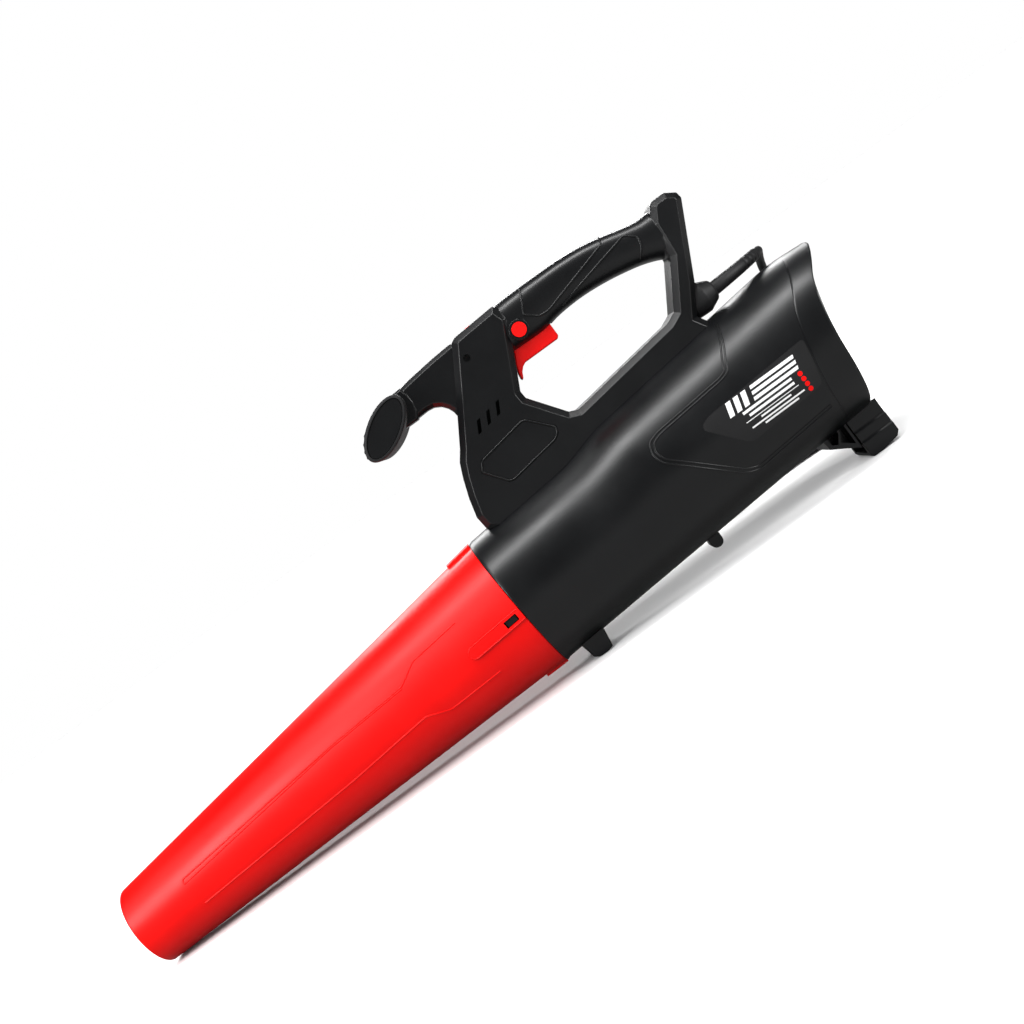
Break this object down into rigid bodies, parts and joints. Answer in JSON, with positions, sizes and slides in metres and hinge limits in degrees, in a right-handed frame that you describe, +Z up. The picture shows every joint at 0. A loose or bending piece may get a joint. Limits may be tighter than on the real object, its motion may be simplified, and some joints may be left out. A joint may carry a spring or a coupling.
{
  "type": "leaf blower",
  "caption": "Corded garden blower: tapered blower tube, round motor body with intake guard, loop handle with trigger, and a cross handle in front.",
  "frame": {"origin": "bottom centre of the bounding box of the standing machine, without its cable", "axes": "+X from the nozzle to the air intake, +Z up, +Y to the side away from the lock button"},
  "size_m": [0.8666, 0.2654, 0.3175],
  "materials": {
    "black_plastic": "satin",
    "red_plastic": "satin",
    "black_rubber": "matte",
    "grey_plastic": "matte",
    "steel": "brushed",
    "copper": "satin",
    "brass": "satin",
    "circuit_board": "matte"
  },
  "bodies": {
    "housing": {"body_shell_left": "black_plastic", "body_shell_right": "black_plastic", "front_foot": "black_plastic", "bag_peg": "black_plastic", "motor_pod": "grey_plastic", "motor_nose_cone": "grey_plastic", "motor_stator": "steel", "front_bearing": "steel", "rear_bearing": "steel", "brush_holder_left": "brass", "carbon_brush_left": "black_rubber", "brush_holder_right": "brass", "carbon_brush_right": "black_rubber", "handle_shell_left": "black_plastic", "handle_shell_right": "black_plastic", "front_arm": "black_plastic", "cross_handle": "black_rubber", "cross_handle_cap_left": "black_plastic", "cross_handle_cap_right": "black_plastic", "cross_handle_bolt": "steel", "trigger_pin": "steel", "trigger_spring": "steel", "switch_body": "black_plastic", "dial_potentiometer": "steel", "control_board": "circuit_board", "suppressor_capacitor": "grey_plastic", "strain_relief": "black_rubber", "power_cord": "black_rubber", "plug_body": "black_rubber", "plug_blade_1": "brass", "plug_blade_2": "brass", "body_screw_1": "steel", "body_screw_2": "steel", "body_screw_3": "steel", "body_screw_4": "steel", "body_screw_5": "steel", "body_screw_6": "steel", "handle_screw_1": "steel", "handle_screw_2": "steel", "handle_screw_3": "steel", "handle_screw_4": "steel", "handle_screw_5": "steel"},
    "tube": {"blower_tube": "red_plastic"},
    "latch_left": {"tube_latch_left": "black_plastic"},
    "latch_right": {"tube_latch_right": "black_plastic"},
    "guard": {"intake_guard": "black_plastic", "intake_grille": "black_plastic"},
    "rotor": {"motor_shaft": "steel", "armature": "copper", "commutator": "copper", "fan": "grey_plastic", "fan_nut": "steel"},
    "trigger": {"trigger": "red_plastic"},
    "lock_button": {"lock_button": "red_plastic"},
    "dial": {"speed_dial": "red_plastic"}
  },
  "joints": [
    {"name": "tube_draw", "type": "slide", "parent": "housing", "child": "tube", "axis": [-0.9961, 0, -0.0884], "range_m": [0, 0.06]},
    {"name": "latch_left_press", "type": "slide", "parent": "housing", "child": "latch_left", "axis": [0, 1, 0], "range_m": [0, 0.0045], "stiffness_N_per_m": 900},
    {"name": "latch_right_press", "type": "slide", "parent": "housing", "child": "latch_right", "axis": [0, -1, 0], "range_m": [0, 0.0045], "stiffness_N_per_m": 900},
    {"name": "guard_draw", "type": "slide", "parent": "housing", "child": "guard", "axis": [0.9961, 0, 0.0884], "range_m": [0, 0.05]},
    {"name": "rotor_spin", "type": "hinge", "parent": "housing", "child": "rotor", "pos_m": [0.26708, 0, 0.10594], "axis": [0.9961, 0, 0.0884], "continuous": true},
    {"name": "trigger_pull", "type": "hinge", "parent": "housing", "child": "trigger", "pos_m": [0.1923, 0, 0.276], "axis": [0, 1, 0], "range_deg": [0, 9], "stiffness_Nm_per_rad": 0.4, "springref_deg": -4.58, "deforming": ["trigger_spring"]},
    {"name": "lock_button_press", "type": "slide", "parent": "housing", "child": "lock_button", "axis": [0, 1, 0], "range_m": [0, 0.003], "stiffness_N_per_m": 700},
    {"name": "dial_turn", "type": "hinge", "parent": "housing", "child": "dial", "pos_m": [0.1356, 0, 0.3039], "axis": [1, 0, 0], "range_deg": [0, 270]}
  ]
}
